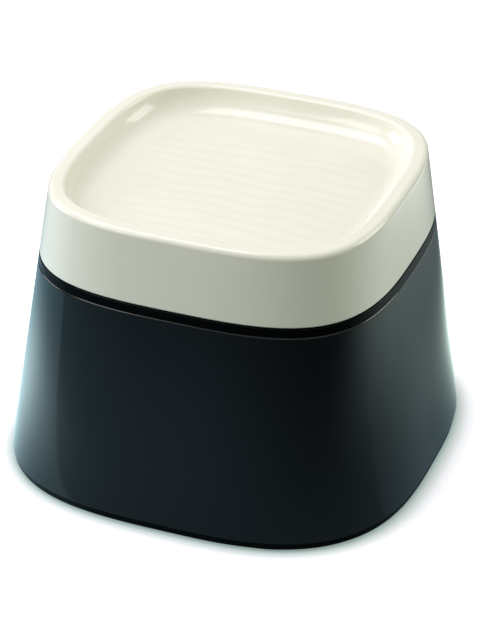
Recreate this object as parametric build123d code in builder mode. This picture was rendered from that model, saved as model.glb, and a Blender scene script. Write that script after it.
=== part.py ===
from build123d import *
import os
from math import ceil, copysign, cos, hypot, pi, radians, sin, sqrt, tan

# A raised cat feeding station: a shallow rippled food tray that lifts off a tapered pedestal.
# Millimetres, +Z up, the front faces -Y, and the origin is the middle of the rest plane.

# Overall form
base_width = 220.0
overall_height = 156.5
side_taper = 8.4
corner_power = 3.0
corner_arc_start = 34.0

# Food tray
tray_height = 37.0
rim_width = 8.0
rim_outer_round = 3.2
rim_inner_round = 2.0
dish_depth = 13.0
dish_draft = 12.0
dish_round = 8.0
tray_floor = 5.0
skirt_wall = 5.0
skirt_round = 6.0
skirt_outer_edge = 0.8
skirt_inner_edge = 0.6

# Ripples pressed into the dish
ripple_pitch = 9.0
ripple_depth = 0.4
ripple_rise = 0.1
ripple_bend_radius = 260.0
ripple_margin = 2.0
ripple_fade = 3.0
ripple_root = 0.5

# Tray carrier
neck_height = 3.9
neck_edge = 0.4
reveal_height = 0.5
reveal_depth = 1.2
deck_thickness = 2.8
spigot_height = 8.0
spigot_wall = 2.5
spigot_clearance = 0.5
spigot_edge = 0.8
pan_round = 1.5
lip_depth = 6.0
lip_wall = 2.0
lip_clearance = 0.3

# Soft pads under the tray's skirt
pad_length = 12.0
pad_width = 2.8
pad_sunk = 1.0
pad_proud = 0.4
pad_margin = 1.2
pad_clearance = 0.1

# Base shell
shell_wall = 3.0
shell_flange = 8.0
shell_flange_thickness = 3.0
shell_top_round = 1.0
shell_bottom_edge = 0.5
shell_inner_round = 4.0

# Screw posts and screws
post_radius = 5.0
post_draft = 1.0
post_gap = 2.0
post_foot_height = 8.0
screw_radius = 2.0
screw_length = 14.0
screw_head_radius = 3.8
screw_head_height = 2.4
screw_head_round = 1.0
screw_slot_width = 1.0
screw_slot_length = 4.6
screw_slot_depth = 1.4
screw_point = 2.0
pilot_clearance = 0.05
pilot_spare_depth = 3.0
through_clearance = 0.3
head_clearance = 0.5

# Bottom plate
band_gap = 1.0
band_height = 3.3
band_recess = 0.7
band_groove = 0.3
band_groove_depth = 1.4
band_lip = 4.0
band_edge = 0.3
panel_thickness = 2.6
panel_recess = 1.2
plate_rim_height = 5.0
plate_rim_wall = 2.2
plate_rim_clearance = 0.3
boss_wall = 2.0
head_floor = 1.6
rib_thickness = 1.8
rib_height = 4.0

# Rubber feet
foot_radius = 9.0
foot_thickness = 3.0
foot_margin = 12.0
foot_edge = 0.8
foot_clearance = 0.1
foot_collar = 1.9
foot_ceiling = 2.0

# Levels, from the rest plane up
shell_bottom = band_gap + band_height + band_groove
panel_bottom = band_gap + panel_recess
panel_top = panel_bottom + panel_thickness
tray_bottom = overall_height - tray_height
dish_floor = overall_height - dish_depth
skirt_ceiling = dish_floor - tray_floor
neck_top = tray_bottom - pad_proud
shell_top = neck_top - neck_height - reveal_height
deck_top = shell_top + deck_thickness
spigot_top = neck_top + spigot_height
post_bottom = panel_bottom + post_foot_height
head_seat = post_bottom - head_floor

half_width = base_width / 2
side_steps = 8
level_margin = 0.01


def side_inset(height):
    """How far the sloping side has come in at a height."""
    return (height - shell_bottom) * tan(radians(side_taper))


def outline_normal(angle):
    """The direction that the rounded-square outline faces, seen at an angle from the middle."""
    across, along = cos(angle), sin(angle)
    slope_x = copysign(abs(across) ** (corner_power - 1), across)
    slope_y = copysign(abs(along) ** (corner_power - 1), along)
    size = hypot(slope_x, slope_y)
    return slope_x / size, slope_y / size


def outline_point(angle, inset):
    """A point of the outline, moved inwards along its own normal."""
    across, along = cos(angle), sin(angle)
    reach = half_width / (abs(across) ** corner_power + abs(along) ** corner_power) ** (1 / corner_power)
    normal_x, normal_y = outline_normal(angle)
    return reach * across - inset * normal_x, reach * along - inset * normal_y


def outline_tangent(angle):
    """The direction in which the outline runs, anticlockwise."""
    normal_x, normal_y = outline_normal(angle)
    return -normal_y, normal_x


def outline_face(height, inset):
    """A flat face at a height, with the outline a set distance inside the widest one."""
    corner_start = radians(corner_arc_start)
    with BuildSketch(Plane.XY.offset(height)) as face:
        with BuildLine():
            for turn in (0, pi / 2, pi, 3 * pi / 2):
                angles = [turn + corner_start * (2 * step / side_steps - 1) for step in range(side_steps + 1)]
                side_points = [outline_point(angle, inset) for angle in angles]
                leaving = outline_tangent(angles[0])
                arriving = outline_tangent(angles[-1])
                Spline(side_points, tangents=[leaving, arriving])
                corner_end = outline_point(turn + pi / 2 - corner_start, inset)
                TangentArc(side_points[-1], corner_end, tangent=arriving)
        make_face()
    return face.sketch


def side_block(low, high, margin, mode=Mode.ADD):
    """A block between two heights that follows the sloping side, a set margin inside it."""
    loft([outline_face(height, side_inset(height) + margin) for height in (low, high)], mode=mode)


def upright_block(low, high, inset, mode=Mode.ADD):
    """A block between two heights with upright sides."""
    extrude(outline_face(low, inset), amount=high - low, mode=mode)


def corner_place(inset):
    """The x and y of the point on the diagonal that lies inside the widest outline's corner."""
    return half_width * 2 ** (-1 / corner_power) - inset / sqrt(2)


def edges_at(part, height):
    """The edges that lie flat at a height."""
    return part.edges().filter_by_position(Axis.Z, height - level_margin, height + level_margin)


# The dish: its mouth, and the flat floor inside the round at its foot
dish_mouth = side_inset(overall_height) + rim_width
dish_inset = dish_mouth + dish_depth * tan(radians(dish_draft))
field_inset = dish_inset + dish_round + ripple_margin

# Ripples: tangent arcs for crests and troughs, turned about a far upright axis
half_pitch = ripple_pitch / 2
ripple_middle = dish_floor + ripple_rise + ripple_depth / 2
ripple_base = dish_floor - ripple_root
field_reach = half_width - field_inset
bend_drop = ripple_bend_radius - sqrt(ripple_bend_radius**2 - field_reach**2)
wave_pairs = ceil((field_reach + bend_drop) / ripple_pitch)
wave_edge = wave_pairs * ripple_pitch

with BuildPart() as ripples:
    with BuildSketch(Plane.YZ):
        with BuildLine():
            for pair in range(-wave_pairs, wave_pairs):
                for start, swing in ((0, -ripple_depth / 2), (half_pitch, ripple_depth / 2)):
                    y = pair * ripple_pitch + start
                    turning_point = (y + half_pitch / 2, ripple_middle + swing)
                    ThreePointArc((y, ripple_middle), turning_point, (y + half_pitch, ripple_middle))
            Polyline(
                (-wave_edge, ripple_middle),
                (-wave_edge, ripple_base),
                (wave_edge, ripple_base),
                (wave_edge, ripple_middle),
            )
        make_face()
    revolve(axis=Axis((0, -ripple_bend_radius, 0), (0, 0, 1)), revolution_arc=360)
    field_top = ripple_middle + ripple_depth
    field = [outline_face(ripple_base, field_inset), outline_face(field_top, field_inset + ripple_fade)]
    loft(field, mode=Mode.INTERSECT)

# Food tray: one thick glazed piece, a dish above and a hollow skirt below
with BuildPart() as food_tray:
    side_block(tray_bottom, overall_height, 0)
    dish = [outline_face(dish_floor, dish_inset), outline_face(overall_height, dish_mouth)]
    loft(dish, mode=Mode.SUBTRACT)
    fillet(edges_at(food_tray, dish_floor), dish_round)
    add(ripples.part)
    rim_face = food_tray.faces().sort_by(Axis.Z)[-1]
    fillet(rim_face.inner_wires()[0].edges(), rim_inner_round)
    rim_face = food_tray.faces().sort_by(Axis.Z)[-1]
    fillet(rim_face.outer_wire().edges(), rim_outer_round)
    side_block(tray_bottom, skirt_ceiling, skirt_wall, mode=Mode.SUBTRACT)
    fillet(edges_at(food_tray, skirt_ceiling), skirt_round)
    skirt_face = food_tray.faces().sort_by(Axis.Z)[0]
    fillet(skirt_face.outer_wire().edges(), skirt_outer_edge)
    skirt_face = food_tray.faces().sort_by(Axis.Z)[0]
    fillet(skirt_face.inner_wires()[0].edges(), skirt_inner_edge)

# Screw posts stand as far out as the locating lip above them lets them
post_height = shell_top - post_bottom
post_top_radius = post_radius + post_height * tan(radians(post_draft))
flange_inset = side_inset(shell_top) + shell_wall + shell_flange
lip_inset = flange_inset + lip_clearance
post_inset = lip_inset + lip_wall + post_gap + post_top_radius
post_place = corner_place(post_inset)
post_spacing = 2 * post_place

# Tray carrier: a pan that closes the base, with the spigot that the tray drops over
pad_inset = side_inset(neck_top) + pad_margin
pad_distance = half_width - pad_inset - pad_width / 2

with BuildPart() as tray_carrier:
    reveal_top = shell_top + reveal_height
    side_block(shell_top, reveal_top, reveal_depth)
    side_block(reveal_top, neck_top, 0)
    fillet(edges_at(tray_carrier, neck_top), neck_edge)
    side_block(neck_top, spigot_top, skirt_wall + spigot_clearance)
    fillet(edges_at(tray_carrier, spigot_top), spigot_edge)
    pan_margin = skirt_wall + spigot_clearance + spigot_wall
    side_block(deck_top, spigot_top, pan_margin, mode=Mode.SUBTRACT)
    fillet(edges_at(tray_carrier, deck_top), pan_round)
    for turn in range(4):
        with BuildSketch(Plane.XY.offset(neck_top).rotated((0, 0, 90 * turn))):
            with Locations((pad_distance, 0)):
                Rectangle(pad_width + 2 * pad_clearance, pad_length + 2 * pad_clearance)
    extrude(amount=-pad_sunk, mode=Mode.SUBTRACT)
    lip_bottom = shell_top - lip_depth
    upright_block(lip_bottom, shell_top, lip_inset)
    upright_block(lip_bottom, shell_top, lip_inset + lip_wall, mode=Mode.SUBTRACT)
    with BuildSketch(Plane.XY.offset(post_bottom)):
        with GridLocations(post_spacing, post_spacing, 2, 2):
            Circle(post_radius)
    extrude(amount=post_height, taper=-post_draft)
    with BuildSketch(Plane.XY.offset(post_bottom)):
        with GridLocations(post_spacing, post_spacing, 2, 2):
            Circle(screw_radius + pilot_clearance)
    extrude(amount=screw_length - head_floor + pilot_spare_depth, mode=Mode.SUBTRACT)

# Tray pads: four soft blocks let into the shoulder, one on each side
tray_pads = {}
for turn, side in enumerate(("right", "back", "left", "front")):
    with BuildPart() as pad:
        with BuildSketch(Plane.XY.offset(neck_top - pad_sunk).rotated((0, 0, 90 * turn))):
            with Locations((pad_distance, 0)):
                Rectangle(pad_width, pad_length)
        extrude(amount=pad_sunk + pad_proud)
    tray_pads[side] = pad

# Base shell: an open sleeve with one flange turned in at the top
with BuildPart() as base_shell:
    side_block(shell_bottom, shell_top, 0)
    fillet(edges_at(base_shell, shell_top), shell_top_round)
    fillet(edges_at(base_shell, shell_bottom), shell_bottom_edge)
    flange_bottom = shell_top - shell_flange_thickness
    side_block(shell_bottom, flange_bottom, shell_wall, mode=Mode.SUBTRACT)
    fillet(edges_at(base_shell, flange_bottom), shell_inner_round)
    upright_block(flange_bottom, shell_top, flange_inset, mode=Mode.SUBTRACT)

# Bottom plate: the dark foot band, a ribbed panel, foot pockets and screw bosses
foot_place = corner_place(band_recess + foot_margin + foot_radius)
foot_spacing = 2 * foot_place
pocket_radius = foot_radius + foot_clearance
head_hole_radius = screw_head_radius + head_clearance
boss_radius = head_hole_radius + boss_wall

with BuildPart() as bottom_plate:
    band_top = band_gap + band_height
    upright_block(band_gap, band_top, band_recess)
    fillet(edges_at(bottom_plate, band_gap), band_edge)
    upright_block(band_top, shell_bottom, band_recess + band_groove_depth)
    rim_top = shell_bottom + plate_rim_height
    rim_margin = shell_wall + plate_rim_clearance
    side_block(shell_bottom, rim_top, rim_margin)
    side_block(panel_top, rim_top, rim_margin + plate_rim_wall, mode=Mode.SUBTRACT)
    upright_block(band_gap, panel_bottom, band_recess + band_lip, mode=Mode.SUBTRACT)
    with BuildSketch(Plane.XY.offset(panel_bottom)):
        with GridLocations(post_spacing, post_spacing, 2, 2):
            Circle(boss_radius)
    extrude(amount=post_foot_height)
    with BuildSketch(Plane.XY.offset(band_gap)):
        with GridLocations(foot_spacing, foot_spacing, 2, 2):
            Circle(pocket_radius + foot_collar)
    extrude(amount=foot_thickness - band_gap + foot_ceiling)
    with BuildSketch(Plane.XY.offset(panel_top)):
        with GridLocations(0, post_spacing, 1, 2):
            Rectangle(post_spacing, rib_thickness)
        with GridLocations(post_spacing, 0, 2, 1):
            Rectangle(rib_thickness, post_spacing)
    extrude(amount=rib_height)
    with BuildSketch(Plane.XY.offset(band_gap)):
        with GridLocations(foot_spacing, foot_spacing, 2, 2):
            Circle(pocket_radius)
    extrude(amount=foot_thickness - band_gap, mode=Mode.SUBTRACT)
    with BuildSketch(Plane.XY.offset(panel_bottom)):
        with GridLocations(post_spacing, post_spacing, 2, 2):
            Circle(head_hole_radius)
    extrude(amount=head_seat - panel_bottom, mode=Mode.SUBTRACT)
    with BuildSketch(Plane.XY.offset(head_seat)):
        with GridLocations(post_spacing, post_spacing, 2, 2):
            Circle(screw_radius + through_clearance)
    extrude(amount=head_floor, mode=Mode.SUBTRACT)

# Plate screws: four pan-head screws driven up into the posts
with BuildPart() as plate_screw:
    with BuildSketch(Plane.XY.offset(head_seat)):
        Circle(screw_head_radius)
    extrude(amount=-screw_head_height)
    fillet(edges_at(plate_screw, head_seat - screw_head_height), screw_head_round)
    with BuildSketch(Plane.XY.offset(head_seat)):
        Circle(screw_radius)
    extrude(amount=screw_length)
    chamfer(edges_at(plate_screw, head_seat + screw_length), screw_point, screw_radius / 2)
    with BuildSketch(Plane.XY.offset(head_seat - screw_head_height)):
        Rectangle(screw_slot_length, screw_slot_width)
        Rectangle(screw_slot_width, screw_slot_length)
    extrude(amount=screw_slot_depth, mode=Mode.SUBTRACT)

with BuildPart() as plate_screws:
    with GridLocations(post_spacing, post_spacing, 2, 2):
        add(plate_screw.part)

# Rubber feet: one disc pressed into each corner pocket
corners = {
    "front_left": (-foot_place, -foot_place),
    "front_right": (foot_place, -foot_place),
    "back_left": (-foot_place, foot_place),
    "back_right": (foot_place, foot_place),
}
feet = {}
for corner, place in corners.items():
    with BuildPart() as foot:
        with BuildSketch(Plane.XY):
            with Locations(place):
                Circle(foot_radius)
        extrude(amount=foot_thickness)
        fillet(edges_at(foot, 0), foot_edge)
    feet[corner] = foot

# One file for each piece
pieces = {
    "food_tray": food_tray,
    "tray_carrier": tray_carrier,
    "base_shell": base_shell,
    "bottom_plate": bottom_plate,
    "plate_screws": plate_screws,
}
pieces.update({f"tray_pad_{side}": pad for side, pad in tray_pads.items()})
pieces.update({f"foot_{corner}": foot for corner, foot in feet.items()})

os.makedirs("parts", exist_ok=True)
for name, piece in pieces.items():
    piece.part.label = name
    export_step(piece.part, f"parts/{name}.step")
    print(name, len(piece.part.solids()), "solids", round(piece.part.volume), "mm3")
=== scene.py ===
"""The looks of a cat feeding station: a rippled ivory tray that lifts off a tall, tapered, glossy pedestal.

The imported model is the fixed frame. The tray, its carrier and the shell are sections carried round one
outline. The feet and posts are turned and set out at the corners, and the bottom plate, the screws and the
tray pads keep their own solids.
"""

import logging
from dataclasses import dataclass
from enum import Enum
from math import acos, ceil, cos, pi, radians, sin, tan
from typing import Iterable

import bmesh
import bpy
from mathutils import Matrix, Vector


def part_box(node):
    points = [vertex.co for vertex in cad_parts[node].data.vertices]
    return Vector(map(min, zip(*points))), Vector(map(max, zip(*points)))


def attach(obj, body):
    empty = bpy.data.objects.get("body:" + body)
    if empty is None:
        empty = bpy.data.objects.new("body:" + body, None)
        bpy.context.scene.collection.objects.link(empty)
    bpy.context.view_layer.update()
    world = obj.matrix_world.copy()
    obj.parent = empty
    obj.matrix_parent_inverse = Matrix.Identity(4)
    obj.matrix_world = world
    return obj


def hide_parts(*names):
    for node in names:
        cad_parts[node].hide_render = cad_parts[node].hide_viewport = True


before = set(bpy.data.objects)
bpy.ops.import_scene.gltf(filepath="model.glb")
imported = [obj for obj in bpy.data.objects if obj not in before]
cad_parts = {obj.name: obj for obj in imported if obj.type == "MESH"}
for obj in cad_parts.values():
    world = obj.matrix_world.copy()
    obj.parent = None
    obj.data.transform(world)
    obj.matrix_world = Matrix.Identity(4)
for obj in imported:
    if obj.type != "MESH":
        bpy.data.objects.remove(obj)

MM = 0.001
REACH = "reach"
CIRCLE_POWER = 2.0
MERGE_DISTANCE = 0.001 * MM
LEVEL_TOLERANCE = 0.01 * MM
SHARP_FROM = radians(35)
MATT_GLOW = {"Emission Strength": 1.0, "Roughness": 1.0, "Specular IOR Level": 0.0}

Colour = tuple[float, float, float]
Place = tuple[float, float, float]

log = logging.getLogger("feeding_station")


class Body(Enum):
    """The two bodies of the frame."""

    BASE = "base"
    TRAY = "tray"


class Slot(Enum):
    """The record's material slots, whose names the made pieces' finishes share."""

    GLAZE = "ivory_glaze"
    SHELL = "anthracite_gloss"
    NECK = "black_gloss"
    FOOT = "foot_rubber"


class Value:
    """A number in a node tree. Arithmetic on it adds Math nodes."""

    def __init__(self, graph: "Graph", socket: bpy.types.NodeSocket) -> None:
        """Wraps an output socket of a graph."""
        self.graph = graph
        self.socket = socket

    def maths(self, operation: str, *others: "Value | float") -> "Value":
        """Works out one operation on this value.

        Args:
            operation: The Math node's operation.
            others: The operation's further values.

        Returns:
            The result.
        """
        return self.graph.maths(operation, self, *others)

    def __add__(self, other: "Value | float") -> "Value":
        """This value plus another."""
        return self.maths("ADD", other)

    __radd__ = __add__

    def __sub__(self, other: "Value | float") -> "Value":
        """This value less another."""
        return self.maths("SUBTRACT", other)

    def __rsub__(self, other: float) -> "Value":
        """A number less this value."""
        return self.graph.maths("SUBTRACT", other, self)

    def __mul__(self, other: "Value | float") -> "Value":
        """This value times another."""
        return self.maths("MULTIPLY", other)

    __rmul__ = __mul__

    def __truediv__(self, other: "Value | float") -> "Value":
        """This value divided by another."""
        return self.maths("DIVIDE", other)

    def __rtruediv__(self, other: float) -> "Value":
        """A number divided by this value."""
        return self.graph.maths("DIVIDE", other, self)

    def __pow__(self, other: "Value | float") -> "Value":
        """This value to a power."""
        return self.maths("POWER", other)

    def __abs__(self) -> "Value":
        """This value without its sign."""
        return self.maths("ABSOLUTE")

    def smooth(self, low: float, high: float) -> "Value":
        """Rises smoothly from 0 at the low value to 1 at the high one.

        Args:
            low: Where the rise starts.
            high: Where it ends.

        Returns:
            The risen value.
        """
        return self.graph.value(
            "ShaderNodeMapRange",
            {"interpolation_type": "SMOOTHSTEP"},
            {"Value": self, "From Min": low, "From Max": high},
        )


class Graph:
    """A node tree in the making, for a finish, a light or a shape."""

    def __init__(self, tree: bpy.types.NodeTree) -> None:
        """Starts on an existing tree, with its nodes cleared."""
        self.tree = tree
        tree.nodes.clear()

    def node(
        self,
        kind: str,
        settings: dict[str, object] | None = None,
        inputs: dict[str | int, object] | None = None,
    ) -> bpy.types.Node:
        """Adds a node.

        Args:
            kind: The node's type.
            settings: Its settings, which are set first.
            inputs: The values or links of its sockets, by name or by place.

        Returns:
            The node.
        """
        made = self.tree.nodes.new(kind)
        for name, setting in (settings or {}).items():
            setattr(made, name, setting)
        for key, given in (inputs or {}).items():
            socket = self.socket(made.inputs, key)
            if isinstance(given, Value):
                given = given.socket
            if isinstance(given, bpy.types.NodeSocket):
                self.tree.links.new(given, socket)
            else:
                socket.default_value = given
        return made

    def socket(self, sockets: Iterable[bpy.types.NodeSocket], key: str | int) -> bpy.types.NodeSocket:
        """Finds a socket by its place, or by its name among those in use.

        Args:
            sockets: A node's inputs or outputs.
            key: The place or the name.

        Returns:
            The socket.
        """
        if isinstance(key, int):
            return sockets[key]
        return next(socket for socket in sockets if socket.enabled and socket.name == key)

    def value(
        self,
        kind: str,
        settings: dict[str, object] | None = None,
        inputs: dict[str | int, object] | None = None,
        output: str | int = 0,
    ) -> Value:
        """Adds a node and takes one of its outputs as a number.

        Args:
            kind: The node's type.
            settings: Its settings.
            inputs: The values or links of its sockets.
            output: The output's name or place.

        Returns:
            The output.
        """
        made = self.node(kind, settings, inputs)
        return Value(self, self.socket(made.outputs, output))

    def shape(self, kind: str, inputs: dict[str | int, object]) -> bpy.types.NodeSocket:
        """Adds a Geometry node and takes the shape that it makes."""
        return self.node(kind, inputs=inputs).outputs[0]

    def maths(self, operation: str, *values: Value | float) -> Value:
        """Adds a Math node.

        Args:
            operation: Its operation.
            values: Its values, in order.

        Returns:
            The result.
        """
        return self.value("ShaderNodeMath", {"operation": operation}, dict(enumerate(values)))

    def split(self, vector: bpy.types.NodeSocket) -> tuple[Value, Value, Value]:
        """The three parts of a vector."""
        made = self.node("ShaderNodeSeparateXYZ", inputs={"Vector": vector})
        return tuple(Value(self, socket) for socket in made.outputs)

    def joined(self, x: Value | float, y: Value | float, z: Value | float) -> bpy.types.NodeSocket:
        """A vector of three parts."""
        return self.node("ShaderNodeCombineXYZ", inputs={"X": x, "Y": y, "Z": z}).outputs[0]

    def noise(
        self,
        place: bpy.types.NodeSocket,
        size: Value | float,
        detail: float = 2.0,
        seed: Value | float = 0.0,
    ) -> Value:
        """Smooth noise between about 0 and 1.

        Args:
            place: The coordinates.
            size: The width of its features, in metres.
            detail: How many finer layers it has.
            seed: Which of the noises it is.

        Returns:
            The noise.
        """
        inputs = {"Vector": place, "W": seed, "Scale": 1 / size, "Detail": detail}
        return self.value("ShaderNodeTexNoise", {"noise_dimensions": "4D"}, inputs)

    def blend(
        self,
        share: Value,
        first: Colour | bpy.types.NodeSocket,
        second: Colour | bpy.types.NodeSocket,
    ) -> bpy.types.NodeSocket:
        """A colour between two.

        Args:
            share: The share of the second.
            first: The colour at 0, plain or made by other nodes.
            second: The colour at 1, plain or made by other nodes.

        Returns:
            The blended colour.
        """
        colours = {"A": first, "B": second}
        plain = {key: (*given, 1.0) for key, given in colours.items() if isinstance(given, tuple)}
        made = self.node("ShaderNodeMix", {"data_type": "RGBA"}, {"Factor": share, **colours, **plain})
        return self.socket(made.outputs, "Result")

    def vector(self, operation: str, *values: Colour | Value | bpy.types.NodeSocket) -> bpy.types.NodeSocket:
        """Adds a Vector Math node, for places and colours.

        Args:
            operation: Its operation.
            values: Its values, in order. A number counts for all three parts.

        Returns:
            The result.
        """
        made = self.node("ShaderNodeVectorMath", {"operation": operation}, dict(enumerate(values)))
        return self.socket(made.outputs, "Vector")


class Section:
    """The section of a piece, walked from corner to corner and carried round the outline afterwards.

    A point is an inset from the widest outline, a share of the way out from the middle, and a height.
    """

    ARC_STEP = radians(9)
    FEWEST_ARC_STEPS = 3
    HOLD = 0.35 * MM
    SHORTEST_HELD = 4 * HOLD

    def __init__(self) -> None:
        """Starts with no points."""
        self.points: list[Vector] = []

    def walk(self, corners: list[tuple[float, float, float]], closed: bool = False) -> "Section":
        """Walks a line of corners, each rounded by its own radius.

        Args:
            corners: The inset, the height and the radius of each corner.
            closed: Whether the walk ends where it starts.

        Returns:
            This section.
        """
        places = [Vector((inset, height)) for inset, height, _ in corners]
        runs: list[list[Vector]] = []
        for index, (here, (_, _, radius)) in enumerate(zip(places, corners)):
            is_end = not closed and index in (0, len(places) - 1)
            after = places[(index + 1) % len(places)]
            is_sharp = is_end or not radius
            runs.append([here] if is_sharp else self.rounded(places[index - 1], here, after, radius))
        if closed:
            runs.append(runs[0][:1])
        for run in runs:
            if self.points:
                self.hold(self.flat(self.points[-1]), run[0])
            self.points.extend(self.lifted(place) for place in run)
        return self

    def flat(self, point: Vector) -> Vector:
        """The inset and height of a point."""
        return Vector((point.x, point.z))

    def lifted(self, place: Vector) -> Vector:
        """The point of an inset and height, all the way out."""
        return Vector((place.x, 1.0, place.y))

    def hold(self, start: Vector, end: Vector) -> None:
        """Adds a point near each end of a straight run, so that the rounds beside it shade cleanly.

        Args:
            start: Where the run starts.
            end: Where it ends.
        """
        run = end - start
        if run.length > self.SHORTEST_HELD:
            step = run.normalized() * self.HOLD
            self.points.extend((self.lifted(start + step), self.lifted(end - step)))

    def rounded(self, before: Vector, corner: Vector, after: Vector, radius: float) -> list[Vector]:
        """The points of the arc that rounds a corner.

        Args:
            before: The corner before it.
            corner: The corner.
            after: The corner after it.
            radius: The arc's radius.

        Returns:
            The points, in the walk's direction.
        """
        inward = (before - corner).normalized()
        outward = (after - corner).normalized()
        half_angle = acos(max(-1.0, min(1.0, inward.dot(outward)))) / 2
        centre = corner + (inward + outward).normalized() * radius / sin(half_angle)
        start = corner + inward * radius / tan(half_angle) - centre
        turn = start.angle_signed(corner + outward * radius / tan(half_angle) - centre)
        steps = max(self.FEWEST_ARC_STEPS, ceil(abs(turn) / self.ARC_STEP))
        return [centre + Matrix.Rotation(-turn * step / steps, 2) @ start for step in range(steps + 1)]

    def to_middle(self, rings: int) -> "Section":
        """Closes the end of the walk with a level floor.

        Args:
            rings: How many rings the floor has.

        Returns:
            This section.
        """
        edge = self.points[-1]
        self.points.extend(Vector((edge.x, 1 - ring / rings, edge.z)) for ring in range(1, rings + 1))
        return self

    def from_middle(self, rings: int) -> "Section":
        """Closes the start of the walk with a level floor.

        Args:
            rings: How many rings the floor has.

        Returns:
            This section.
        """
        edge = self.points[0]
        self.points[:0] = [Vector((edge.x, ring / rings, edge.z)) for ring in range(rings)]
        return self

    def line(self, name: str) -> bpy.types.Object:
        """Makes an object that holds the section as a line of points.

        Args:
            name: The object's name.

        Returns:
            The object.
        """
        mesh = bpy.data.meshes.new(name)
        count = len(self.points)
        mesh.from_pydata(self.points, [(index, index + 1) for index in range(count - 1)], [])
        made = bpy.data.objects.new(name, mesh)
        bpy.context.collection.objects.link(made)
        return made


class ShapeTree:
    """A Geometry Nodes tree with named inputs, which ends in a smooth, real mesh of one material."""

    def __init__(self, name: str, inputs: dict[str, str]) -> None:
        """Starts the tree.

        Args:
            name: The tree's name.
            inputs: The names of its inputs, each with its kind of socket, after the shape that it works on.
        """
        self.tree = bpy.data.node_groups.new(name, "GeometryNodeTree")
        self.graph = Graph(self.tree)
        self.tree.interface.new_socket("Shape", in_out="INPUT", socket_type="NodeSocketGeometry")
        for label, kind in {**inputs, "Material": "NodeSocketMaterial"}.items():
            self.tree.interface.new_socket(label, in_out="INPUT", socket_type=kind)
        self.tree.interface.new_socket("Shape", in_out="OUTPUT", socket_type="NodeSocketGeometry")
        self.given = self.graph.node("NodeGroupInput").outputs

    def number(self, label: str) -> Value:
        """An input as a number."""
        return Value(self.graph, self.given[label])

    def close(self, shape: bpy.types.NodeSocket) -> None:
        """Ends the tree: instances become real, faces are smooth and take the material.

        Args:
            shape: What the tree has made.
        """
        graph = self.graph
        real = graph.shape("GeometryNodeRealizeInstances", {"Geometry": shape})
        smooth = graph.shape("GeometryNodeSetShadeSmooth", {0: real})
        dressed = graph.shape(
            "GeometryNodeSetMaterial", {"Geometry": smooth, "Material": self.given["Material"]}
        )
        graph.node("NodeGroupOutput", inputs={"Shape": dressed})

    def put_on(self, target: bpy.types.Object, inputs: dict[str, object]) -> None:
        """Adds the tree to an object as a modifier.

        Args:
            target: The object.
            inputs: What its inputs are, by name.
        """
        modifier = target.modifiers.new(self.tree.name, "NODES")
        modifier.node_group = self.tree
        for item in self.tree.interface.items_tree:
            if item.in_out == "INPUT" and item.name in inputs:
                modifier[item.identifier] = inputs[item.name]


def loft_tree() -> ShapeTree:
    """Nodes that carry a section round a rounded square.

    Returns:
        A tree whose shape is the section's line of points.
    """
    inputs = {
        "Half Width": "NodeSocketFloat",
        "Corner Power": "NodeSocketFloat",
        "Steps Around": "NodeSocketInt",
    }
    made = ShapeTree("loft_round_outline", inputs)
    graph = made.graph
    section = made.given["Shape"]
    count = graph.value("GeometryNodeAttributeDomainSize", inputs={"Geometry": section}, output="Point Count")
    steps = made.number("Steps Around")
    sheet = graph.shape("GeometryNodeMeshGrid", {"Vertices X": steps + 1, "Vertices Y": count})

    index = graph.value("GeometryNodeInputIndex")
    row = index.maths("MODULO", count)
    angle = (index - row) / count / steps * (2 * pi)
    sampled = graph.node(
        "GeometryNodeSampleIndex",
        {"data_type": "FLOAT_VECTOR", "domain": "POINT"},
        {"Geometry": section, "Value": graph.node("GeometryNodeInputPosition").outputs[0], "Index": row},
    )
    inset, reach, height = graph.split(graph.socket(sampled.outputs, "Value"))

    power = made.number("Corner Power")
    across, along = angle.maths("COSINE"), angle.maths("SINE")
    spread = (abs(across) ** power + abs(along) ** power) ** (1 / power)
    slope_x = across.maths("SIGN") * abs(across) ** (power - 1)
    slope_y = along.maths("SIGN") * abs(along) ** (power - 1)
    steepness = (slope_x**2 + slope_y**2) ** 0.5
    radius = made.number("Half Width") / spread
    x = (radius * across - inset * slope_x / steepness) * reach
    y = (radius * along - inset * slope_y / steepness) * reach

    placed = graph.shape(
        "GeometryNodeSetPosition", {"Geometry": sheet, "Position": graph.joined(x, y, height)}
    )
    marked = graph.shape(
        "GeometryNodeStoreNamedAttribute", {"Geometry": placed, "Name": REACH, "Value": reach}
    )
    merged = graph.shape("GeometryNodeMergeByDistance", {"Geometry": marked, "Distance": MERGE_DISTANCE})
    made.close(merged)
    return made


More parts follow.
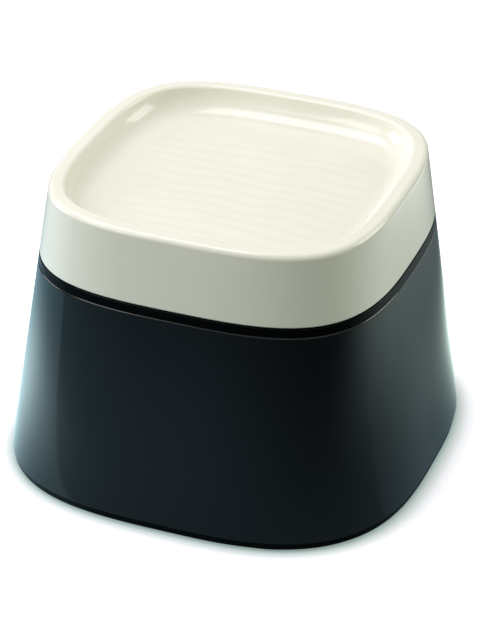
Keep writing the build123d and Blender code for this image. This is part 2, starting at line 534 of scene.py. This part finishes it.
def ripple_tree() -> ShapeTree:
    """Nodes that press wandering ripples into a level floor.

    Returns:
        A tree that works on a lofted shape.
    """
    inputs = {
        "Floor Level": "NodeSocketFloat",
        "Pitch": "NodeSocketFloat",
        "Depth": "NodeSocketFloat",
        "Bend Radius": "NodeSocketFloat",
        "Wander": "NodeSocketFloat",
        "Wander Size": "NodeSocketFloat",
        "Fade": "NodeSocketFloat",
        "Seed": "NodeSocketFloat",
    }
    made = ShapeTree("wandering_ripples", inputs)
    graph = made.graph
    place = graph.node("GeometryNodeInputPosition").outputs[0]
    x, y, z = graph.split(place)
    bend = made.number("Bend Radius")
    distance = (x**2 + (y + bend) ** 2) ** 0.5 - bend
    noise = graph.noise(place, made.number("Wander Size"), detail=1.0, seed=made.number("Seed"))
    wandered = distance + (noise - 0.5) * 2 * made.number("Wander")
    wave = (wandered / made.number("Pitch") * (2 * pi)).maths("SINE")
    reach = graph.value(
        "GeometryNodeInputNamedAttribute", {"data_type": "FLOAT"}, {"Name": REACH}, output="Attribute"
    )
    inwards = ((1 - reach) / made.number("Fade")).smooth(0, 1)
    on_floor = z.maths("COMPARE", made.number("Floor Level"), LEVEL_TOLERANCE)
    lift = wave * made.number("Depth") / 2 * inwards * on_floor
    rippled = graph.shape(
        "GeometryNodeSetPosition",
        {"Geometry": made.given["Shape"], "Offset": graph.joined(0.0, 0.0, lift)},
    )
    made.close(rippled)
    return made


def corner_tree() -> ShapeTree:
    """Nodes that set a shape out at the four corners of a square.

    Returns:
        A tree that works on the shape at the middle.
    """
    made = ShapeTree("four_corners", {"Spacing": "NodeSocketFloat"})
    graph = made.graph
    spacing = made.number("Spacing")
    corners = graph.shape(
        "GeometryNodeMeshGrid", {"Size X": spacing, "Size Y": spacing, "Vertices X": 2, "Vertices Y": 2}
    )
    set_out = graph.shape(
        "GeometryNodeInstanceOnPoints", {"Points": corners, "Instance": made.given["Shape"]}
    )
    made.close(set_out)
    return made


def loft_inputs(
    half_width: float,
    steps_around: int,
    material: bpy.types.Material,
    corner_power: float = CIRCLE_POWER,
) -> dict[str, object]:
    """Gathers what the loft's nodes are given.

    Args:
        half_width: How far the widest outline reaches.
        steps_around: How many steps the outline has.
        material: The finish.
        corner_power: How square the outline is. It is a circle unless this is given.

    Returns:
        The nodes' inputs, by name.
    """
    return {
        "Half Width": half_width,
        "Corner Power": corner_power,
        "Steps Around": steps_around,
        "Material": material,
    }


def made_real(target: bpy.types.Object) -> bpy.types.Object:
    """Turns what an object's modifiers make into its plain mesh, with its faces outwards.

    Args:
        target: The object, which keeps its name.

    Returns:
        The same object.
    """
    bpy.context.view_layer.update()
    evaluated = target.evaluated_get(bpy.context.evaluated_depsgraph_get())
    target.data = bpy.data.meshes.new_from_object(evaluated)
    target.modifiers.clear()
    solid = bmesh.new()
    solid.from_mesh(target.data)
    if solid.calc_volume(signed=True) < 0:
        bmesh.ops.reverse_faces(solid, faces=solid.faces)
    solid.to_mesh(target.data)
    solid.free()
    target.data.set_sharp_from_angle(angle=SHARP_FROM)
    return target


def joined_in(target: bpy.types.Object, extra: bpy.types.Object) -> bpy.types.Object:
    """Adds the mesh of one made object to another of the same finish.

    Args:
        target: The object that stays.
        extra: The object that goes into it.

    Returns:
        The object that stays.
    """
    together = bmesh.new()
    together.from_mesh(target.data)
    together.from_mesh(extra.data)
    together.to_mesh(target.data)
    together.free()
    bpy.data.objects.remove(extra)
    return target


@dataclass(frozen=True)
class Finish:
    """A finish of one base material, with mottling, uneven gloss and a fine relief of its own."""

    name: str
    light: Colour
    dark: Colour
    gloss_low: float
    gloss_high: float
    mottle_size: float
    relief_size: float
    relief_height: float
    metallic: float = 0.0
    refraction: float = 1.5
    stretch: float = 1.0

    MOTTLE_DETAIL = 3.0
    MOTTLE_EDGES = (0.3, 0.7)
    SMUDGES_ACROSS_MOTTLE = 3
    SMUDGE_DETAIL = 4.0
    SMUDGE_SEED = 5.0
    SMUDGE_EDGES = (0.35, 0.75)
    RELIEF_SEED = 9.0

    def material(self) -> bpy.types.Material:
        """Builds the finish.

        Returns:
            A material that reads Object coordinates.
        """
        made = bpy.data.materials.new(self.name)
        made.use_nodes = True
        graph = Graph(made.node_tree)
        place = graph.node("ShaderNodeTexCoord").outputs["Object"]
        if self.stretch != 1.0:
            place = graph.vector("MULTIPLY", place, (1, self.stretch, 1))
        mottle = graph.noise(place, self.mottle_size, self.MOTTLE_DETAIL).smooth(*self.MOTTLE_EDGES)
        smudge_size = self.mottle_size / self.SMUDGES_ACROSS_MOTTLE
        smudge = graph.noise(place, smudge_size, self.SMUDGE_DETAIL, self.SMUDGE_SEED)
        smudge = smudge.smooth(*self.SMUDGE_EDGES)
        relief = graph.noise(place, self.relief_size, seed=self.RELIEF_SEED)
        bump = graph.node(
            "ShaderNodeBump", inputs={"Strength": 1.0, "Distance": self.relief_height, "Height": relief}
        )
        surface = graph.node(
            "ShaderNodeBsdfPrincipled",
            inputs={
                "Base Color": graph.blend(mottle, self.light, self.dark),
                "Roughness": self.gloss_low + (self.gloss_high - self.gloss_low) * smudge,
                "Metallic": self.metallic,
                "IOR": self.refraction,
                "Normal": bump.outputs[0],
            },
        )
        graph.node("ShaderNodeOutputMaterial", inputs={"Surface": surface.outputs[0]})
        return made


@dataclass(frozen=True)
class Palette:
    """The finishes of the station."""

    glaze: Finish = Finish(
        name="ivory_glaze",
        light=(0.82, 0.805, 0.70),
        dark=(0.795, 0.78, 0.67),
        gloss_low=0.10,
        gloss_high=0.17,
        mottle_size=45 * MM,
        relief_size=5 * MM,
        relief_height=0.012 * MM,
    )
    shell: Finish = Finish(
        name="anthracite_gloss",
        light=(0.0052, 0.0072, 0.0085),
        dark=(0.0045, 0.0062, 0.0074),
        gloss_low=0.05,
        gloss_high=0.09,
        mottle_size=60 * MM,
        relief_size=4 * MM,
        relief_height=0.004 * MM,
    )
    neck: Finish = Finish(
        name="black_gloss",
        light=(0.0022, 0.0026, 0.003),
        dark=(0.0018, 0.0021, 0.0025),
        gloss_low=0.10,
        gloss_high=0.16,
        mottle_size=40 * MM,
        relief_size=3 * MM,
        relief_height=0.004 * MM,
        refraction=1.17,
    )
    band: Finish = Finish(
        name="black_satin",
        light=(0.0018, 0.002, 0.0022),
        dark=(0.0012, 0.0014, 0.0016),
        gloss_low=0.30,
        gloss_high=0.42,
        mottle_size=20 * MM,
        relief_size=0.5 * MM,
        relief_height=0.015 * MM,
        refraction=1.2,
    )
    pad: Finish = Finish(
        name="soft_rubber",
        light=(0.020, 0.020, 0.021),
        dark=(0.013, 0.013, 0.014),
        gloss_low=0.62,
        gloss_high=0.80,
        mottle_size=4 * MM,
        relief_size=0.35 * MM,
        relief_height=0.03 * MM,
    )
    foot: Finish = Finish(
        name="foot_rubber",
        light=(0.026, 0.026, 0.027),
        dark=(0.016, 0.016, 0.017),
        gloss_low=0.60,
        gloss_high=0.82,
        mottle_size=6 * MM,
        relief_size=0.4 * MM,
        relief_height=0.04 * MM,
    )
    steel: Finish = Finish(
        name="screw_steel",
        light=(0.62, 0.61, 0.59),
        dark=(0.50, 0.49, 0.47),
        gloss_low=0.22,
        gloss_high=0.36,
        mottle_size=3 * MM,
        relief_size=0.3 * MM,
        relief_height=0.01 * MM,
        metallic=1.0,
        stretch=6.0,
    )


@dataclass(frozen=True)
class Outline:
    """The tapered rounded square that every large piece follows."""

    foot_level: float
    half_width: float = 110.0 * MM
    corner_power: float = 3.0
    taper: float = radians(8.4)
    steps_around: int = 384

    def side(self, height: float, margin: float = 0.0) -> float:
        """How far the sloping side has come in at a height.

        Args:
            height: The height.
            margin: How much further in the wanted surface lies.

        Returns:
            The inset from the widest outline.
        """
        return (height - self.foot_level) * tan(self.taper) + margin

    def inputs(self, material: bpy.types.Material) -> dict[str, object]:
        """What the loft's nodes are given for a piece of this outline."""
        return loft_inputs(self.half_width, self.steps_around, material, self.corner_power)


@dataclass(frozen=True)
class Trees:
    """The shape trees that the sub-assemblies share."""

    loft: ShapeTree
    ripples: ShapeTree
    corners: ShapeTree


@dataclass(frozen=True)
class Tray:
    """The lift-off food tray: a shallow rippled dish above and a hollow skirt below."""

    outline: Outline
    trees: Trees
    rim_width: float = 8.0 * MM
    rim_outer_round: float = 3.2 * MM
    rim_inner_round: float = 2.0 * MM
    dish_depth: float = 13.0 * MM
    dish_draft: float = radians(12)
    dish_round: float = 13.0 * MM
    floor_thickness: float = 5.0 * MM
    skirt_wall: float = 5.0 * MM
    skirt_round: float = 6.0 * MM
    skirt_outer_edge: float = 0.8 * MM
    skirt_inner_edge: float = 0.6 * MM
    floor_rings: int = 76
    ceiling_rings: int = 8
    ripple_pitch: float = 9.0 * MM
    ripple_depth: float = 0.24 * MM
    ripple_bend: float = 260.0 * MM
    ripple_wander: float = 10.0 * MM
    ripple_wander_size: float = 48.0 * MM
    ripple_fade: float = 0.12
    ripple_seed: float = 3.0

    def section(self, low: float, high: float) -> Section:
        """Walks the tray's section, from the middle of its ceiling to the middle of its dish.

        Args:
            low: The height of the skirt's lower edge.
            high: The height of the rim.

        Returns:
            The section.
        """
        side = self.outline.side
        floor = high - self.dish_depth
        ceiling = floor - self.floor_thickness
        mouth = side(high, self.rim_width)
        dish_foot = mouth + self.dish_depth * tan(self.dish_draft)
        floor_edge = dish_foot + self.dish_round
        walked = Section().walk(
            [
                (side(ceiling, self.skirt_wall) + self.skirt_round, ceiling, 0),
                (side(ceiling, self.skirt_wall), ceiling, self.skirt_round),
                (side(low, self.skirt_wall), low, self.skirt_inner_edge),
                (side(low), low, self.skirt_outer_edge),
                (side(high), high, self.rim_outer_round),
                (mouth, high, self.rim_inner_round),
                (dish_foot, floor, self.dish_round),
                (floor_edge, floor, 0),
            ]
        )
        return walked.from_middle(self.ceiling_rings).to_middle(self.floor_rings)

    def build(self, finish: Finish) -> bpy.types.Object:
        """Makes the tray and dresses it.

        Args:
            finish: Its glaze.

        Returns:
            The piece.
        """
        lowest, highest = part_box("food_tray")
        material = finish.material()
        piece = self.section(lowest.z, highest.z).line("rippled_food_tray")
        self.trees.loft.put_on(piece, self.outline.inputs(material))
        self.trees.ripples.put_on(
            piece,
            {
                "Floor Level": highest.z - self.dish_depth,
                "Pitch": self.ripple_pitch,
                "Depth": self.ripple_depth,
                "Bend Radius": self.ripple_bend,
                "Wander": self.ripple_wander,
                "Wander Size": self.ripple_wander_size,
                "Fade": self.ripple_fade,
                "Seed": self.ripple_seed,
                "Material": material,
            },
        )
        return settled(made_real(piece), Body.TRAY, Slot.GLAZE, "food_tray")


@dataclass(frozen=True)
class Carrier:
    """The black moulding that closes the base: neck, spigot, pan, locating lip and screw posts."""

    outline: Outline
    trees: Trees
    reveal_height: float = 0.5 * MM
    reveal_depth: float = 1.2 * MM
    deck_thickness: float = 2.8 * MM
    neck_edge: float = 0.4 * MM
    spigot_height: float = 8.0 * MM
    spigot_margin: float = 5.5 * MM
    spigot_wall: float = 2.5 * MM
    spigot_edge: float = 0.8 * MM
    pan_round: float = 1.5 * MM
    lip_clearance: float = 0.3 * MM
    lip_depth: float = 6.0 * MM
    lip_wall: float = 2.0 * MM
    deck_rings: int = 12
    post_radius: float = 5.0 * MM
    post_draft: float = radians(1)
    post_sunk: float = 0.5 * MM
    hole_radius: float = 2.05 * MM
    hole_depth: float = 15.4 * MM
    screw_head_radius: float = 3.8 * MM
    post_steps: int = 48

    def section(self, deck_underside: float, spigot_top: float) -> Section:
        """Walks the section from the middle of the deck, over the spigot and neck, to the middle below.

        Args:
            deck_underside: The height at which the carrier rests on the shell.
            spigot_top: Its highest level.

        Returns:
            The section.
        """
        side = self.outline.side
        neck_top = spigot_top - self.spigot_height
        reveal_top = deck_underside + self.reveal_height
        deck_top = deck_underside + self.deck_thickness
        pan = self.spigot_margin + self.spigot_wall
        lip = side(deck_underside, Shell.wall + Shell.flange + self.lip_clearance)
        lip_bottom = deck_underside - self.lip_depth
        walked = Section().walk(
            [
                (side(deck_top, pan) + self.pan_round, deck_top, 0),
                (side(deck_top, pan), deck_top, self.pan_round),
                (side(spigot_top, pan), spigot_top, 0),
                (side(spigot_top, self.spigot_margin), spigot_top, self.spigot_edge),
                (side(neck_top, self.spigot_margin), neck_top, 0),
                (side(neck_top), neck_top, self.neck_edge),
                (side(reveal_top), reveal_top, 0),
                (side(reveal_top, self.reveal_depth), reveal_top, 0),
                (side(deck_underside, self.reveal_depth), deck_underside, 0),
                (lip, deck_underside, 0),
                (lip, lip_bottom, 0),
                (lip + self.lip_wall, lip_bottom, 0),
                (lip + self.lip_wall, deck_underside, 0),
            ]
        )
        return walked.from_middle(self.deck_rings).to_middle(self.deck_rings)

    def posts(
        self,
        low: float,
        high: float,
        spacing: float,
        material: bpy.types.Material,
    ) -> bpy.types.Object:
        """Makes the four screw posts.

        Args:
            low: The height of their feet.
            high: The height at which they join the deck.
            spacing: The distance between two of them.
            material: Their finish.

        Returns:
            One mesh of four posts.
        """
        top = high + self.post_sunk
        top_radius = self.post_radius + (top - low) * tan(self.post_draft)
        hole_top = low + self.hole_depth
        hole_inset = top_radius - self.hole_radius
        walked = Section().walk(
            [
                (hole_inset, hole_top, 0),
                (hole_inset, low, 0),
                (top_radius - self.post_radius, low, 0),
                (0, top, 0),
            ]
        )
        made = walked.from_middle(1).to_middle(1).line("screw_posts")
        self.trees.loft.put_on(made, loft_inputs(top_radius, self.post_steps, material))
        self.trees.corners.put_on(made, {"Spacing": spacing, "Material": material})
        return made_real(made)

    def build(self, finish: Finish) -> bpy.types.Object:
        """Makes the carrier and dresses it.

        Args:
            finish: Its finish.

        Returns:
            The piece.
        """
        lowest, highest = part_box("tray_carrier")
        shell_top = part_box("base_shell")[1].z
        screws_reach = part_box("plate_screws")[1].x
        material = finish.material()
        piece = self.section(shell_top, highest.z).line("tray_carrier_moulding")
        self.trees.loft.put_on(piece, self.outline.inputs(material))
        spacing = 2 * (screws_reach - self.screw_head_radius)
        posts = self.posts(lowest.z, shell_top, spacing, material)
        return settled(joined_in(made_real(piece), posts), Body.BASE, Slot.NECK, "tray_carrier")


@dataclass(frozen=True)
class Shell:
    """The glossy pedestal: an open sleeve with one flange turned in at the top."""

    outline: Outline
    trees: Trees
    wall: float = 3.0 * MM
    flange: float = 8.0 * MM
    flange_thickness: float = 3.0 * MM
    top_round: float = 1.0 * MM
    bottom_edge: float = 0.5 * MM
    inner_round: float = 4.0 * MM

    def section(self, low: float, high: float) -> Section:
        """Walks once round the wall's section.

        Args:
            low: The height of the shell's lower edge.
            high: The height of its top.

        Returns:
            The section, closed.
        """
        side = self.outline.side
        flange_foot = high - self.flange_thickness
        flange_end = side(high, self.wall + self.flange)
        return Section().walk(
            [
                (side(low, self.wall), low, 0),
                (side(low), low, self.bottom_edge),
                (side(high), high, self.top_round),
                (flange_end, high, 0),
                (flange_end, flange_foot, 0),
                (side(flange_foot, self.wall), flange_foot, self.inner_round),
            ],
            closed=True,
        )

    def build(self, finish: Finish) -> bpy.types.Object:
        """Makes the shell and dresses it.

        Args:
            finish: Its finish.

        Returns:
            The piece.
        """
        lowest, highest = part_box("base_shell")
        piece = self.section(lowest.z, highest.z).line("pedestal_shell")
        self.trees.loft.put_on(piece, self.outline.inputs(finish.material()))
        return settled(made_real(piece), Body.BASE, Slot.SHELL, "base_shell")


@dataclass(frozen=True)
class Feet:
    """Four turned rubber feet, each with two shallow rings pressed into its sole."""

    trees: Trees
    edge: float = 0.8 * MM
    ring_places: tuple[float, float] = (0.36, 0.68)
    ring_width: float = 0.9 * MM
    ring_depth: float = 0.35 * MM
    flat_rings: int = 2
    steps_around: int = 96

    NODES = ("foot_front_left", "foot_front_right", "foot_back_left", "foot_back_right")

    def section(self, radius: float, thickness: float) -> Section:
        """Walks the section of one foot, from the middle of its sole to the middle of its top.

        Args:
            radius: The foot's radius.
            thickness: Its thickness.

        Returns:
            The section.
        """
        half = self.ring_width / 2
        corners = []
        for place in self.ring_places:
            groove = radius * (1 - place)
            corners += [
                (groove + half, 0, 0),
                (groove + half, self.ring_depth, 0),
                (groove - half, self.ring_depth, 0),
                (groove - half, 0, 0),
            ]
        corners += [(0, 0, self.edge), (0, thickness, 0), (self.edge, thickness, 0)]
        return Section().walk(corners).from_middle(self.flat_rings).to_middle(self.flat_rings)

    def build(self, finish: Finish) -> bpy.types.Object:
        """Makes the four feet as one piece and dresses them.

        Args:
            finish: Their rubber.

        Returns:
            The piece.
        """
        lowest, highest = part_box(self.NODES[-1])
        radius = (highest.x - lowest.x) / 2
        spacing = highest.x + lowest.x
        material = finish.material()
        piece = self.section(radius, highest.z - lowest.z).line("rubber_feet")
        self.trees.loft.put_on(piece, loft_inputs(radius, self.steps_around, material))
        self.trees.corners.put_on(piece, {"Spacing": spacing, "Material": material})
        return settled(made_real(piece), Body.BASE, Slot.FOOT, *self.NODES)


@dataclass(frozen=True)
class KeptSolids:
    """The pieces whose solids are right as they stand: the bottom plate, its screws and the tray pads."""

    palette: Palette

    def build(self) -> list[bpy.types.Object]:
        """Dresses the kept solids.

        Returns:
            Their objects.
        """
        band = self.palette.band.material()
        steel = self.palette.steel.material()
        rubber = self.palette.pad.material()
        finishes = {"bottom_plate": band, "plate_screws": steel}
        finishes.update({f"tray_pad_{side}": rubber for side in ("front", "back", "left", "right")})
        for name, material in finishes.items():
            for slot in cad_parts[name].material_slots:
                slot.material = material
        return [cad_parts[name] for name in finishes]


def settled(piece: bpy.types.Object, body: Body, slot: Slot, *nodes: str) -> bpy.types.Object:
    """Puts a made piece in the frame.

    Args:
        piece: The piece, in its place.
        body: The body that it moves with.
        slot: The record's slot of its finish. It is not used.
        nodes: The solids that it stands for.

    Returns:
        The piece.
    """
    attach(piece, body.value)
    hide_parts(*nodes)
    return piece


@dataclass(frozen=True)
class Softbox:
    """A square studio light, aimed at the station."""

    name: str
    place: Place
    size: float
    power: float
    colour: Colour
    aim: Place = (0.0, 0.0, 0.09)

    def build(self) -> None:
        """Puts the light up."""
        light = bpy.data.lights.new(self.name, "AREA")
        light.shape = "SQUARE"
        light.size = self.size
        light.energy = self.power
        light.color = self.colour
        made = bpy.data.objects.new(self.name, light)
        bpy.context.collection.objects.link(made)
        made.location = self.place
        made.rotation_euler = (Vector(self.aim) - made.location).to_track_quat("-Z", "Y").to_euler()
        made.visible_camera = False


@dataclass(frozen=True)
class Viewpoint:
    """The camera, as it stood for the picture."""

    azimuth: float = radians(20.53)
    elevation: float = radians(30.47)
    roll: float = radians(0.68)
    distance: float = 1.400
    target_height: float = 77 * MM
    picture_width: float = 502.0
    picture_height: float = 642.0
    focal_pixels: float = 2688.0
    target_pixel: tuple[float, float] = (239.4, 298.0)
    sensor: float = 36.0

    def build(self) -> None:
        """Stands the camera."""
        back = Vector(
            (
                sin(self.azimuth) * cos(self.elevation),
                -cos(self.azimuth) * cos(self.elevation),
                sin(self.elevation),
            )
        )
        level_right = Vector((cos(self.azimuth), sin(self.azimuth), 0))
        level_up = back.cross(level_right)
        right = cos(self.roll) * level_right + sin(self.roll) * level_up
        up = cos(self.roll) * level_up - sin(self.roll) * level_right
        camera = bpy.data.cameras.new("picture_camera")
        camera.sensor_width = self.sensor
        camera.lens = self.sensor * self.focal_pixels / self.picture_height
        across, down = self.target_pixel
        camera.shift_x = (self.picture_width / 2 - across) / self.picture_height
        camera.shift_y = (down - self.picture_height / 2) / self.picture_height
        made = bpy.data.objects.new("picture_camera", camera)
        bpy.context.collection.objects.link(made)
        place = Vector((0, 0, self.target_height)) + back * self.distance
        made.matrix_world = Matrix.Translation(place) @ Matrix((right, up, back)).transposed().to_4x4()
        bpy.context.scene.camera = made


@dataclass(frozen=True)
class Pool:
    """A soft round pool of painted light on the floor, which may be dimmed beyond a straight edge by a
    painted shadow.

    The cut is the share of its light that the painted shadow takes there. At its radius a pool has faded to
    about a seventh.
    """

    place: tuple[float, float]
    radius: float
    colour: Colour
    cut: float = 0.0
    cut_from: tuple[float, float] = (0.0, -95 * MM)
    cut_turn: float = radians(19)
    cut_width: float = 8 * MM

    FADE = 2.0

    def strength(self, graph: Graph, x: Value, y: Value) -> Value:
        """How bright the pool is over the floor.

        Args:
            graph: The floor's nodes.
            x: The place across the floor.
            y: The place along the floor.

        Returns:
            Its brightness, from 1 at its middle down to 0.
        """
        across, along = self.place
        steepness = self.FADE / self.radius**2
        faded = (((x - across) ** 2 + (y - along) ** 2) * -steepness).maths("EXPONENT")
        if not self.cut:
            return faded
        # Painted shadow: beyond a straight line across the floor the pool's light is dimmed by the cut.
        start_x, start_y = self.cut_from
        beyond = (x - start_x) * sin(self.cut_turn) - (y - start_y) * cos(self.cut_turn)
        return faded * (1 - self.cut * beyond.smooth(-self.cut_width / 2, self.cut_width / 2))


@dataclass(frozen=True)
class FloorGlow:
    """The glow painted on the floor, which the station reflects: wide dim pools on both sides, and small
    brighter ones.
    """

    pools: tuple[Pool, ...] = (
        Pool((-0.26, -0.13), 0.45, (0.45, 0.80, 0.95), cut=0.5),
        Pool((-0.20, -0.06), 0.12, (1.4, 1.8, 1.8)),
        Pool((0.34, 0.15), 0.26, (0.55, 0.75, 0.70)),
        Pool((0.05, 0.14), 0.08, (2.4, 3.0, 2.6)),
        Pool((0.32, 0.47), 0.21, (2.6, 2.7, 2.7)),
    )
    between: Colour = (0.03, 0.03, 0.04)

    def shader(self, graph: Graph) -> bpy.types.NodeSocket:
        """Builds the glowing surface.

        Args:
            graph: The floor's nodes.

        Returns:
            Its shader.
        """
        x, y, _ = graph.split(graph.node("ShaderNodeTexCoord").outputs["Object"])
        glow = self.between
        for pool in self.pools:
            glow = graph.vector("MULTIPLY_ADD", pool.colour, pool.strength(graph, x, y), glow)
        # Painted glow: the pools are the floor's own emission, not light from the softboxes.
        inputs = {"Base Color": (0.0, 0.0, 0.0, 1.0), "Emission Color": glow, **MATT_GLOW}
        return graph.node("ShaderNodeBsdfPrincipled", inputs=inputs).outputs[0]


@dataclass(frozen=True)
class Studio:
    """A pale floor with a painted contact shadow and a painted glow, under soft light."""

    floor_size: float = 8.0
    floor_white: Colour = (0.75, 0.75, 0.75)
    floor_lift: Colour = (0.65, 0.62, 0.68)
    # Painted contact shadow: the share of each colour that is left in the fine line of shade.
    shade: Colour = (0.34, 0.45, 0.40)
    shade_reach: float = 14 * MM
    glow: FloorGlow = FloorGlow()
    room: Colour = (0.48, 0.52, 0.45)
    backdrop: Colour = (1.0, 1.0, 1.0)
    softboxes: tuple[Softbox, ...] = (
        Softbox("left_softbox", (-1.25, -0.1, 0.45), 0.7, 6.0, (0.9, 0.85, 1.0)),
        Softbox("front_left_softbox", (-0.8, -0.9, 0.9), 0.7, 5.0, (0.95, 1.0, 1.0)),
        Softbox("back_right_softbox", (1.1, 0.75, 0.55), 0.7, 6.0, (1.0, 1.0, 1.0)),
        Softbox("top_left_softbox", (-0.5, 0.0, 1.25), 0.8, 8.5, (0.95, 0.85, 1.0)),
    )

    SHADE_SAMPLES = 8
    SHADE_EDGES = (0.45, 1.0)

    def floor(self) -> None:
        """Lays the floor: white with a painted contact shadow in the picture, and a painted glow in what the
        station reflects.
        """
        half = self.floor_size / 2
        corners = [(-half, -half, 0), (half, -half, 0), (half, half, 0), (-half, half, 0)]
        mesh = bpy.data.meshes.new("studio_floor")
        mesh.from_pydata(corners, [], [(0, 1, 2, 3)])
        made = bpy.data.objects.new("studio_floor", mesh)
        bpy.context.collection.objects.link(made)
        material = bpy.data.materials.new("studio_white")
        material.use_nodes = True
        graph = Graph(material.node_tree)
        seen = graph.value("ShaderNodeLightPath", output="Is Camera Ray")
        white = self.white(graph)
        glow = self.glow.shader(graph)
        surface = graph.node("ShaderNodeMixShader", inputs={0: seen, 1: glow, 2: white})
        graph.node("ShaderNodeOutputMaterial", inputs={"Surface": surface.outputs[0]})
        mesh.materials.append(material)

    def white(self, graph: Graph) -> bpy.types.NodeSocket:
        """Builds the surface that the picture shows: white, with a fine painted contact shadow where
        something stands.

        Args:
            graph: The floor's nodes.

        Returns:
            Its shader.
        """
        # Painted contact shadow: ambient occlusion darkens the floor's colour and glow where something
        # stands.
        settings = {"samples": self.SHADE_SAMPLES}
        inputs = {"Distance": self.shade_reach}
        open_share = graph.value("ShaderNodeAmbientOcclusion", settings, inputs, "AO")
        opened = open_share.smooth(*self.SHADE_EDGES)
        inputs = {
            "Base Color": graph.blend(opened, self.dimmed(self.floor_white), self.floor_white),
            "Emission Color": graph.blend(opened, self.dimmed(self.floor_lift), self.floor_lift),
            **MATT_GLOW,
        }
        return graph.node("ShaderNodeBsdfPrincipled", inputs=inputs).outputs[0]

    def dimmed(self, colour: Colour) -> Colour:
        """A colour in that painted contact shadow, a little greener than in the open."""
        return tuple(part * share for part, share in zip(colour, self.shade))

    def surroundings(self) -> None:
        """Fills the room with even light, which the picture shows as a white backdrop."""
        world = bpy.data.worlds.new("studio_room")
        world.use_nodes = True
        graph = Graph(world.node_tree)
        seen = graph.value("ShaderNodeLightPath", output="Is Camera Ray")
        colour = graph.blend(seen, self.room, self.backdrop)
        room = graph.node("ShaderNodeBackground", inputs={"Color": colour})
        graph.node("ShaderNodeOutputWorld", inputs={"Surface": room.outputs[0]})
        bpy.context.scene.world = world

    def build(self) -> None:
        """Sets the studio up."""
        self.floor()
        self.surroundings()
        for softbox in self.softboxes:
            softbox.build()
        Viewpoint().build()
        bpy.context.scene.view_settings.view_transform = "Standard"
        bpy.context.scene.view_settings.look = "None"


def main() -> None:
    """Builds the station and its studio, and logs the faces of each piece."""
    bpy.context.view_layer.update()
    palette = Palette()
    outline = Outline(foot_level=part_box("base_shell")[0].z)
    trees = Trees(loft_tree(), ripple_tree(), corner_tree())
    pieces = [
        Shell(outline, trees).build(palette.shell),
        Carrier(outline, trees).build(palette.neck),
        Tray(outline, trees).build(palette.glaze),
        Feet(trees).build(palette.foot),
        *KeptSolids(palette).build(),
    ]
    for piece in pieces:
        log.info("%s: %d faces", piece.name, len(piece.data.polygons))
    Studio().build()


if __name__ == "__main__":
    logging.basicConfig(level=logging.INFO, format="%(message)s")
    main()
